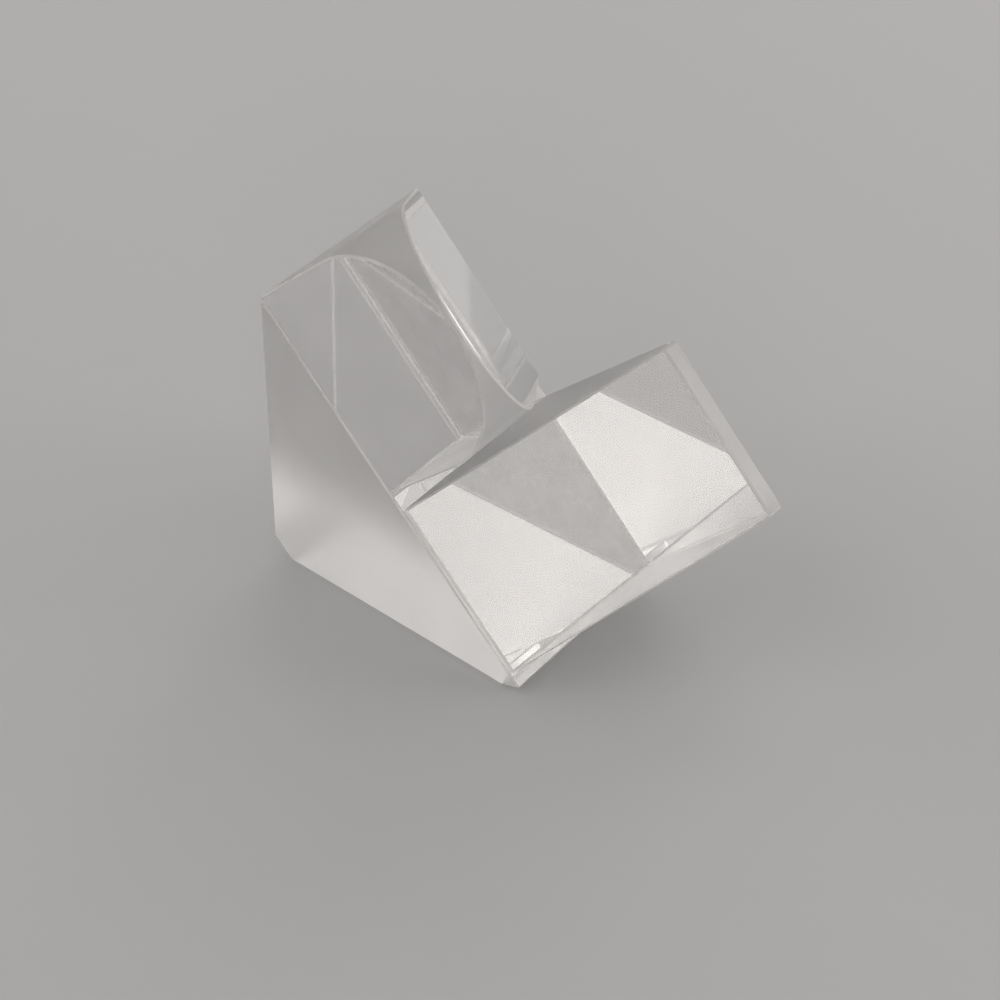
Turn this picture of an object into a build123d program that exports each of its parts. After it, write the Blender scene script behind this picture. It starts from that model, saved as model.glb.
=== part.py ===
"""Image-erecting prism cluster: three right angle prisms cemented into one block of glass.

A large right angle prism stands on one leg face. Two smaller right angle prisms are
cemented, leg face down, on its sloping hypotenuse face. The upper one faces the front
and has a round top, and the lower one faces the back. Light enters at the upper front,
turns four times inside the glass and leaves at the lower back with its image upright.

Frame: +Z up, with the base prism standing on Z = 0. The origin is the middle of the leg
that it stands on. The ground front faces along -Y, and the slope falls towards +X.
"""

from build123d import *
import math
import os

# ---- Base prism: the large right angle prism that carries the other two ----
base_leg = 29.2            # leg of its full right angle section, before any edge is ground
depth = 20.0               # ground front face to ground back face
heel_flat = 2.0            # setback of the wide flat on its right angle edge
toe_flat = 2.6             # setback of the flat on its lower acute edge
crest_flat = 0.4           # setback of the narrow flat on its upper acute edge

# ---- Small prisms: both are cut from one right angle section, a little over the depth ----
side_land = 0.6            # upright strip left where their lower acute edge is ground flush
crown_land = 0.5           # flat left on the entrance prism's upper acute edge, at its crown
outer_land = 1.75          # wide flat ground on the exit prism's upper acute edge
entrance_length = 20.0     # entrance prism along the slope, which is the width of its round top
prism_gap = 1.75           # strip of the slope that stays clear between the two
bevel = 0.18               # protective bevel along the edges of all three

# ---- Sizes and places that follow ----
small_leg = depth + side_land
entrance_height = small_leg - crown_land
exit_height = small_leg - outer_land
exit_start = entrance_length + prism_gap
exit_length = base_leg * math.sqrt(2) - toe_flat - exit_start

# This plane lies on the slope: X runs down it, Y to the back and Z out of the glass
slope = Plane(origin=(-base_leg / 2, -depth / 2, base_leg), x_dir=(1, 0, -1), z_dir=(1, 0, 1))


def across_slope(distance):
    """Plane square to the slope, this far down it: X runs to the back and Y out of the glass."""
    start = slope.from_local_coords((distance, 0, 0))
    return Plane(origin=start, x_dir=slope.y_dir, z_dir=slope.x_dir)


os.makedirs("parts", exist_ok=True)

# Base prism: a right angle section with each of its three edges ground to a flat. The
# narrow flat on the crest is a protective bevel itself, so its own two edges get none.
with BuildPart() as base_prism:
    with BuildSketch(Plane.XZ.offset(depth / 2)):
        heel_x = -base_leg / 2
        toe_x = base_leg / 2
        diagonal = math.sqrt(0.5)
        with BuildLine():
            Polyline(
                (heel_x + heel_flat, 0),
                (toe_x - toe_flat, 0),
                (toe_x - toe_flat * diagonal, toe_flat * diagonal),
                (heel_x + crest_flat * diagonal, base_leg - crest_flat * diagonal),
                (heel_x, base_leg - crest_flat),
                (heel_x, heel_flat),
                close=True,
            )
        make_face()
    extrude(amount=-depth)
    outlines = base_prism.edges().filter_by(Axis.Y, reverse=True)
    long_edges = base_prism.edges().filter_by(Axis.Y).sort_by(Axis.Z)
    chamfer(outlines + long_edges[:-2], bevel)
base_prism.part.label = "base_prism"
export_step(base_prism.part, "parts/base_prism.step")

# Entrance prism: its right angle runs along the slope's front edge, so that its other leg
# face is flush with the base prism's front. Its top is rounded to a half circle.
with BuildPart() as entrance_prism:
    with BuildSketch(across_slope(0)):
        with BuildLine():
            Polyline(
                (0, 0),
                (depth, 0),
                (depth, side_land),
                (crown_land, entrance_height),
                (0, entrance_height),
                close=True,
            )
        make_face()
    extrude(amount=entrance_length)
    with BuildSketch(Plane(origin=slope.origin, x_dir=slope.x_dir, z_dir=-slope.y_dir)):
        shoulder = entrance_height - entrance_length / 2
        with BuildLine():
            Polyline((0, shoulder), (0, 0), (entrance_length, 0), (entrance_length, shoulder))
            ThreePointArc(
                (0, shoulder),
                (entrance_length / 2, entrance_height),
                (entrance_length, shoulder),
            )
        make_face()
    extrude(amount=-depth, mode=Mode.INTERSECT)
    chamfer(entrance_prism.edges(), bevel)
entrance_prism.part.label = "entrance_prism"
export_step(entrance_prism.part, "parts/entrance_prism.step")

# Exit prism: its right angle runs along the slope's back edge, so that its hypotenuse face
# rises from the front edge, and its outer acute edge is ground to a wide flat. Its lower
# end stops where the base prism's toe flat starts.
with BuildPart() as exit_prism:
    with BuildSketch(across_slope(exit_start)):
        with BuildLine():
            Polyline(
                (0, 0),
                (depth, 0),
                (depth, exit_height),
                (depth - outer_land, exit_height),
                (0, side_land),
                close=True,
            )
        make_face()
    extrude(amount=exit_length)
    chamfer(exit_prism.edges(), bevel)
exit_prism.part.label = "exit_prism"
export_step(exit_prism.part, "parts/exit_prism.step")
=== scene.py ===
import math

import bmesh
import bpy
from mathutils import Matrix, Vector


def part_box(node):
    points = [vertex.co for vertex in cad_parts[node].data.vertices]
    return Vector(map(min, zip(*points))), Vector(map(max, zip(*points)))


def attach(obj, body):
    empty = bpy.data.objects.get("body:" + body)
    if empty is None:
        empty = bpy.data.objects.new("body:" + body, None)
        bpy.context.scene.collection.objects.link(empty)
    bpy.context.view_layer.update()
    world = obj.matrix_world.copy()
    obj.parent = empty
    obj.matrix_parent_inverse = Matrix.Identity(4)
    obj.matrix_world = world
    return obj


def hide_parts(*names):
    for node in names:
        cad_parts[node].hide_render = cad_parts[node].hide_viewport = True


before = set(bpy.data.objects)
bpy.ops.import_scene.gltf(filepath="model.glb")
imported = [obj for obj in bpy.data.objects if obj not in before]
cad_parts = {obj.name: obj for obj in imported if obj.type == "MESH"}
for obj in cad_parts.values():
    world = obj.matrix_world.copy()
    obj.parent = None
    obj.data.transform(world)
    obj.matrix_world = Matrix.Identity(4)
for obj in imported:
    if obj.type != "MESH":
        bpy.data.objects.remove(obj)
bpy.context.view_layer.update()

# ---------------------------------------------------------------------------------------
# Base prism. The large right angle prism of clear crown glass that the cluster stands on.
# It is sawn from a block and its edges are ground to flats. Its two leg faces and its slope
# are polished, its sides and edge flats are left fine ground, and its bevels are stoned.
# ---------------------------------------------------------------------------------------
MM = 0.001
BASE_LEG = 29.2 * MM
HEEL_FLAT = 2.0 * MM
TOE_FLAT = 2.6 * MM
CREST_FLAT = 0.4 * MM
BEVEL = 0.18 * MM
ENTRANCE_LENGTH = 20.0 * MM
PRISM_GAP = 1.75 * MM
EXIT_START = ENTRANCE_LENGTH + PRISM_GAP
EXIT_END = BASE_LEG * math.sqrt(2) - TOE_FLAT

base_low, base_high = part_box("base_prism")
DEPTH = base_high.y - base_low.y
HEEL = Vector((base_low.x, base_low.y, 0))
TOE = HEEL + Vector((BASE_LEG, 0, 0))
CREST = HEEL + Vector((0, 0, BASE_LEG))
LEFT = Vector((-1, 0, 0))
DOWN = Vector((0, 0, -1))
TO_BACK = Vector((0, 1, 0))
DOWN_SLOPE = Vector((1, 0, -1)).normalized()
OUT_OF_SLOPE = Vector((1, 0, 1)).normalized()
SAME_WAY = 0.9999
SAME_POINT = 1e-7


class Socket:
    """A shader socket with arithmetic: an expression on it adds the Math nodes it needs."""

    def __init__(self, tree, link=None):
        self.tree = tree
        self.link = link

    def node(self, kind, settings=None, inputs=None, output=0):
        """Adds a node: its settings first, then the values or links of its sockets."""
        made = self.tree.nodes.new(kind)
        for name, value in (settings or {}).items():
            setattr(made, name, value)
        for name, value in (inputs or {}).items():
            if isinstance(value, Socket):
                self.tree.links.new(value.link, made.inputs[name])
            else:
                made.inputs[name].default_value = value
        return Socket(self.tree, made.outputs[output] if made.outputs else None)

    def math(self, operation, first, second):
        return self.node("ShaderNodeMath", {"operation": operation}, {0: first, 1: second})

    def __add__(self, other):
        return self.math("ADD", self, other)

    def __radd__(self, other):
        return self.math("ADD", other, self)

    def __rsub__(self, other):
        return self.math("SUBTRACT", other, self)

    def __mul__(self, other):
        return self.math("MULTIPLY", self, other)

    def __rmul__(self, other):
        return self.math("MULTIPLY", other, self)

    def steps(self, low, high):
        """0 below low, 1 above high and even between."""
        ranges = {"Value": self, "From Min": low, "From Max": high}
        return self.node("ShaderNodeMapRange", {"clamp": True}, ranges)


def new_finish(name):
    """An empty material, and a socket that its nodes are added from."""
    material = bpy.data.materials.new(name)
    material.use_nodes = True
    material.node_tree.nodes.clear()
    return material, Socket(material.node_tree)


def cloud(start, size):
    """Soft cloudy noise whose lumps are about this large, in metres."""
    place = start.node("ShaderNodeTexCoord", output="Object")
    return start.node("ShaderNodeTexNoise", inputs={"Vector": place, "Scale": 1 / size, "Detail": 3.0})


GLASS_INDEX = 1.517
STAIN_SIZE = 3.5 * MM
SPECK_SIZE = 0.7 * MM
GROUND_TINT = (0.65, 0.65, 0.65, 1)
GROUND_ROUGHNESS = 0.50
FROST_WHITE = (0.95, 0.94, 0.93, 1)
FILM_SIZE = 5.0 * MM
FILM_ROUGHNESS = 0.012


def ground_finish(name, whiteness):
    """Fine ground glass: it scatters and dims what passes, and wiping left soft stains on it."""
    material, start = new_finish(name)
    stains = cloud(start, STAIN_SIZE).steps(0.35, 0.7)
    specks = cloud(start, SPECK_SIZE).steps(0.55, 0.75)
    glass = start.node("ShaderNodeBsdfPrincipled", inputs={
        "Base Color": GROUND_TINT,
        "Roughness": GROUND_ROUGHNESS + 0.05 * stains,
        "IOR": GLASS_INDEX,
        "Transmission Weight": 1.0,
    })
    front = start.node("ShaderNodeBsdfDiffuse", inputs={"Color": FROST_WHITE})
    through = start.node("ShaderNodeBsdfTranslucent", inputs={"Color": FROST_WHITE})
    frost = start.node("ShaderNodeMixShader", inputs={0: 0.5, 1: front, 2: through})
    surface = start.node("ShaderNodeMixShader", inputs={
        0: whiteness + 0.09 * stains + 0.05 * specks,
        1: glass,
        2: frost,
    })
    start.node("ShaderNodeOutputMaterial", inputs={"Surface": surface})
    return material


def polished_finish():
    """Optically polished glass, with the faintest film left by wiping."""
    material, start = new_finish("polished_glass")
    film = cloud(start, FILM_SIZE).steps(0.5, 0.8)
    surface = start.node("ShaderNodeBsdfPrincipled", inputs={
        "Base Color": (1, 1, 1, 1),
        "Roughness": FILM_ROUGHNESS * film,
        "IOR": GLASS_INDEX,
        "Transmission Weight": 1.0,
    })
    start.node("ShaderNodeOutputMaterial", inputs={"Surface": surface})
    return material


def cement_finish():
    """Clear cement of the glass's own index: light crosses the joint as if it weren't there."""
    material, start = new_finish("clear_cement")
    surface = start.node("ShaderNodeBsdfTransparent")
    start.node("ShaderNodeOutputMaterial", inputs={"Surface": surface})
    return material


# The bevels were stoned by hand, so they are whiter than the machine ground faces. A face that
# nothing else is said of takes the first finish.
MACHINE_WHITENESS = 0.10
HAND_WHITENESS = 0.45
FINISHES = [
    ground_finish("ground_glass", MACHINE_WHITENESS),
    ground_finish("stoned_glass", HAND_WHITENESS),
    polished_finish(),
    cement_finish(),
]
BEVELLED, POLISHED, CEMENTED = range(1, len(FINISHES))


def on_slope(down, back=0.0, out=0.0):
    """The point this far down the slope, to the back and out of the glass."""
    return CREST + DOWN_SLOPE * down + TO_BACK * back + OUT_OF_SLOPE * out


def saw_block(shape, low, high, place=Matrix()):
    """Saws a block from one corner to the other."""
    middle = Matrix.Translation((low + high) / 2)
    bmesh.ops.create_cube(shape, size=1, matrix=place @ middle @ Matrix.Diagonal((*(high - low), 1)))


def grind_off(shape, point, outward):
    """Grinds away what lies outside a plane, and closes the glass there."""
    whole = shape.verts[:] + shape.edges[:] + shape.faces[:]
    made = bmesh.ops.bisect_plane(
        shape, geom=whole, dist=SAME_POINT, plane_co=point, plane_no=outward, clear_outer=True
    )
    rim = [e for e in made["geom_cut"] if isinstance(e, bmesh.types.BMEdge)]
    bmesh.ops.edgeloop_fill(shape, edges=rim)
    bmesh.ops.recalc_face_normals(shape, faces=shape.faces)


def bevel_edges(shape, edges):
    """Takes the sharpness off these edges with a fine protective bevel."""
    bmesh.ops.bevel(
        shape, geom=edges, offset=BEVEL, offset_type="OFFSET", affect="EDGES", segments=1, profile=0.5,
        material=BEVELLED,
    )


def finish_faces(shape, directions):
    """Gives the faces that look a given way their finish. The bevels keep theirs."""
    for face in shape.faces:
        for outward, finish in directions:
            if face.normal.dot(outward) > SAME_WAY:
                face.material_index = finish


def make_piece(shape, name, node):
    """Makes the finished glass a piece that stands for its node."""
    mesh = bpy.data.meshes.new(name)
    shape.to_mesh(mesh)
    shape.free()
    for finish in FINISHES:
        mesh.materials.append(finish)
    piece = bpy.data.objects.new(name, mesh)
    bpy.context.scene.collection.objects.link(piece)
    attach(piece, "root")
    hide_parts(node)


base = bmesh.new()
saw_block(base, HEEL, HEEL + Vector((BASE_LEG, DEPTH, BASE_LEG)))
grind_off(base, CREST, OUT_OF_SLOPE)
grind_off(base, HEEL + Vector((HEEL_FLAT, 0, 0)), LEFT + DOWN)
grind_off(base, TOE - Vector((TOE_FLAT, 0, 0)), DOWN + DOWN_SLOPE)
grind_off(base, CREST - Vector((0, 0, CREST_FLAT)), LEFT + OUT_OF_SLOPE)

# The narrow crest flat is a bevel itself, so its own two edges get none
crest_edges = [
    e for e in base.edges
    if all(v.co.z > BASE_LEG - 2 * CREST_FLAT for v in e.verts)
    and abs((e.verts[1].co - e.verts[0].co).normalized().dot(TO_BACK)) > SAME_WAY
]
bevel_edges(base, [e for e in base.edges if e not in crest_edges])

# The slope is parted where the cement under each small prism starts and ends
for down in (ENTRANCE_LENGTH - BEVEL, EXIT_START + BEVEL, EXIT_END - BEVEL):
    slope_faces = [f for f in base.faces if f.normal.dot(OUT_OF_SLOPE) > SAME_WAY]
    slope_edges = dict.fromkeys(e for f in slope_faces for e in f.edges)
    slope_corners = dict.fromkeys(v for f in slope_faces for v in f.verts)
    parted = slope_faces + list(slope_edges) + list(slope_corners)
    bmesh.ops.bisect_plane(base, geom=parted, dist=SAME_POINT, plane_co=on_slope(down), plane_no=DOWN_SLOPE)

finish_faces(base, [(LEFT, POLISHED), (DOWN, POLISHED), (OUT_OF_SLOPE, POLISHED)])
for face in base.faces:
    down = (face.calc_center_median() - CREST).dot(DOWN_SLOPE)
    under_prism = down < ENTRANCE_LENGTH - BEVEL or EXIT_START + BEVEL < down < EXIT_END - BEVEL
    if face.normal.dot(OUT_OF_SLOPE) > SAME_WAY and under_prism:
        face.material_index = CEMENTED
make_piece(base, "base_prism_glass", "base_prism")

# ---------------------------------------------------------------------------------------
# Entrance prism. The upper small right angle prism, where the light goes in. It is cemented
# by one leg face to the upper slope, with the other leg face flush with the base prism's
# front. Its top is ground to a half circle, because only a round bundle of light is used.
# ---------------------------------------------------------------------------------------
SIDE_LAND = 0.6 * MM
CROWN_LAND = 0.5 * MM
SMALL_LEG = DEPTH + SIDE_LAND
ENTRANCE_HEIGHT = SMALL_LEG - CROWN_LAND
ROUND_STEPS = 48
ROUND_WELD = 1e-6
SHARP_ANGLE = math.radians(20)
SLOPE_PLACE = Matrix.Translation(CREST) @ Matrix((DOWN_SLOPE, TO_BACK, OUT_OF_SLOPE)).transposed().to_4x4()


def sharp_edges(shape):
    """The edges where two faces meet at a clear angle."""
    return [e for e in shape.edges if e.calc_face_angle(0) > SHARP_ANGLE]


entrance = bmesh.new()
saw_block(entrance, Vector((0, 0, 0)), Vector((ENTRANCE_LENGTH, DEPTH, ENTRANCE_HEIGHT)))
top_edges = [
    e for e in entrance.edges
    if all(v.co.z > ENTRANCE_HEIGHT / 2 for v in e.verts) and e.verts[0].co.x == e.verts[1].co.x
]
bmesh.ops.bevel(
    entrance, geom=top_edges, offset=ENTRANCE_LENGTH / 2, offset_type="OFFSET", affect="EDGES",
    segments=ROUND_STEPS, profile=0.5, material=-1,
)
bmesh.ops.remove_doubles(entrance, verts=entrance.verts, dist=ROUND_WELD)
bmesh.ops.transform(entrance, matrix=SLOPE_PLACE, verts=entrance.verts)
entrance_hypotenuse = (TO_BACK + OUT_OF_SLOPE).normalized()
grind_off(entrance, on_slope(0, SMALL_LEG), entrance_hypotenuse)
bevel_edges(entrance, sharp_edges(entrance))

# The round top is smooth between its sharp rims
for edge in sharp_edges(entrance):
    edge.smooth = False
for face in entrance.faces:
    face.smooth = True
finish_faces(entrance, [(-TO_BACK, POLISHED), (entrance_hypotenuse, POLISHED), (-OUT_OF_SLOPE, CEMENTED)])
make_piece(entrance, "entrance_prism_glass", "entrance_prism")

# ---------------------------------------------------------------------------------------
# Exit prism. The lower small right angle prism, where the light goes out. It is cemented by
# one leg face to the lower slope and faces the back, so its polished hypotenuse face rises
# from the front. Its two ends are fine ground, and its outer edge is ground to a wide flat.
# ---------------------------------------------------------------------------------------
OUTER_LAND = 1.75 * MM
EXIT_HEIGHT = SMALL_LEG - OUTER_LAND

exit_prism = bmesh.new()
saw_block(exit_prism, Vector((EXIT_START, 0, 0)), Vector((EXIT_END, DEPTH, EXIT_HEIGHT)), SLOPE_PLACE)
exit_hypotenuse = (OUT_OF_SLOPE - TO_BACK).normalized()
grind_off(exit_prism, on_slope(0, 0, SIDE_LAND), exit_hypotenuse)
bevel_edges(exit_prism, sharp_edges(exit_prism))
finish_faces(exit_prism, [(TO_BACK, POLISHED), (exit_hypotenuse, POLISHED), (-OUT_OF_SLOPE, CEMENTED)])
make_piece(exit_prism, "exit_prism_glass", "exit_prism")

# ---------------------------------------------------------------------------------------
# Floor. A plain pale table top, a hair below the glass: the film of air that stays under
# the polished leg face is what lets that face mirror from inside.
# ---------------------------------------------------------------------------------------
FLOOR_HALF_WIDTH = 3.0
AIR_FILM = 0.05 * MM
TABLE_GREY = (0.48, 0.48, 0.487, 1)
TABLE_ROUGHNESS = 0.6

floor_finish, start = new_finish("table_top")
table_top = start.node("ShaderNodeBsdfPrincipled", inputs={
    "Base Color": TABLE_GREY,
    "Roughness": TABLE_ROUGHNESS,
})
start.node("ShaderNodeOutputMaterial", inputs={"Surface": table_top})
plane = bmesh.new()
bmesh.ops.create_grid(plane, x_segments=1, y_segments=1, size=FLOOR_HALF_WIDTH)
bmesh.ops.translate(plane, verts=plane.verts, vec=(0, 0, -AIR_FILM))
floor_mesh = bpy.data.meshes.new("floor")
plane.to_mesh(floor_mesh)
plane.free()
floor_mesh.materials.append(floor_finish)
floor = bpy.data.objects.new("floor", floor_mesh)
bpy.context.scene.collection.objects.link(floor)

# ---------------------------------------------------------------------------------------
# Light. Gentle soft boxes stand all round the table, inside a pale light tent. Those on the
# left shine through the ground sides onto the mirroring base face, which sends their light up
# the exit prism. The low ones light the ground ends and flats.
# ---------------------------------------------------------------------------------------
BOX_DISTANCE = 0.68
BOX_COLOUR = (1.0, 0.96, 0.925)
TENT_COLOUR = (0.60, 0.585, 0.57, 1)
ROOM_COLOUR = (0.385, 0.38, 0.375, 1)

# Where each box stands round the table and how high above it, in degrees, then its width in
# metres and its brightness
SOFT_BOXES = {
    "low_back": (45, 16, 0.42, 2.4),
    "back": (84, 28, 0.58, 0.95),
    "back_left": (126, 34, 0.50, 0.85),
    "low_left": (205, 18, 0.50, 1.7),
    "front_left": (240, 45, 0.50, 0.72),
    "low_front": (306, 16, 0.36, 2.1),
}
for name, (round_table, above_table, width, brightness) in SOFT_BOXES.items():
    level = BOX_DISTANCE * math.cos(math.radians(above_table))
    place = Vector((
        level * math.cos(math.radians(round_table)),
        level * math.sin(math.radians(round_table)),
        BOX_DISTANCE * math.sin(math.radians(above_table)),
    ))
    light = bpy.data.lights.new(name, "AREA")
    light.shape = "SQUARE"
    light.size = width
    light.energy = brightness * math.pi * width ** 2
    light.color = BOX_COLOUR
    box = bpy.data.objects.new(name, light)
    bpy.context.scene.collection.objects.link(box)
    box.location = place
    box.rotation_euler = (-place).to_track_quat("-Z", "Y").to_euler()

room = bpy.data.worlds.new("room")
room.use_nodes = True
room.node_tree.nodes.clear()
start = Socket(room.node_tree)


def ray(kind):
    """What the Light Path node says of a ray."""
    return start.node("ShaderNodeLightPath", output=kind)


# The tent is what the camera and the glass see. The table is lit more dimly, so that the glass
# casts a shadow on it.
looking = (ray("Is Camera Ray") + ray("Is Glossy Ray") + ray("Is Transmission Ray")).steps(0, 1)
off_table = ray("Diffuse Depth").steps(0, 1)
dim = start.node("ShaderNodeBackground", inputs={"Color": ROOM_COLOUR})
tent = start.node("ShaderNodeBackground", inputs={"Color": TENT_COLOUR})
around = start.node("ShaderNodeMixShader", inputs={0: looking * (1 - off_table), 1: dim, 2: tent})
start.node("ShaderNodeOutputWorld", inputs={"Surface": around})
bpy.context.scene.world = room

# ---------------------------------------------------------------------------------------
# Camera. It looks down at the front from the right, about 0.24 m away.
# ---------------------------------------------------------------------------------------
PICTURE_WIDTH = 1000
FOCAL_PIXELS = 2586.3
SENSOR_WIDTH = 36
NEAREST_SEEN = 10 * MM
CAMERA_PLACE = Vector((106.93, -131.69, 162.72)) * MM
HEADING = math.radians(128.140)
LOOK_DOWN = math.radians(42.415)
ROLL = math.radians(1.047)

ahead = Vector((
    math.cos(HEADING) * math.cos(LOOK_DOWN),
    math.sin(HEADING) * math.cos(LOOK_DOWN),
    -math.sin(LOOK_DOWN),
))
level_right = Vector((math.sin(HEADING), -math.cos(HEADING), 0))
level_up = level_right.cross(ahead)
camera_right = level_right * math.cos(ROLL) + level_up * math.sin(ROLL)
camera_up = level_up * math.cos(ROLL) - level_right * math.sin(ROLL)
turn = Matrix((camera_right, camera_up, -ahead)).transposed().to_4x4()

lens = bpy.data.cameras.new("camera")
lens.sensor_width = SENSOR_WIDTH
lens.lens = FOCAL_PIXELS / PICTURE_WIDTH * SENSOR_WIDTH
lens.clip_start = NEAREST_SEEN
camera = bpy.data.objects.new("camera", lens)
bpy.context.scene.collection.objects.link(camera)
camera.matrix_world = Matrix.Translation(CAMERA_PLACE) @ turn

# Light turns many times inside the glass before it leaves, and each turn is a glossy bounce
MOST_BOUNCES = 40
MOST_GLOSSY_BOUNCES = 32
scene = bpy.context.scene
scene.camera = camera
scene.view_settings.view_transform = "Standard"
scene.cycles.max_bounces = MOST_BOUNCES
scene.cycles.glossy_bounces = MOST_GLOSSY_BOUNCES
scene.cycles.transmission_bounces = MOST_BOUNCES
scene.cycles.transparent_max_bounces = MOST_BOUNCES
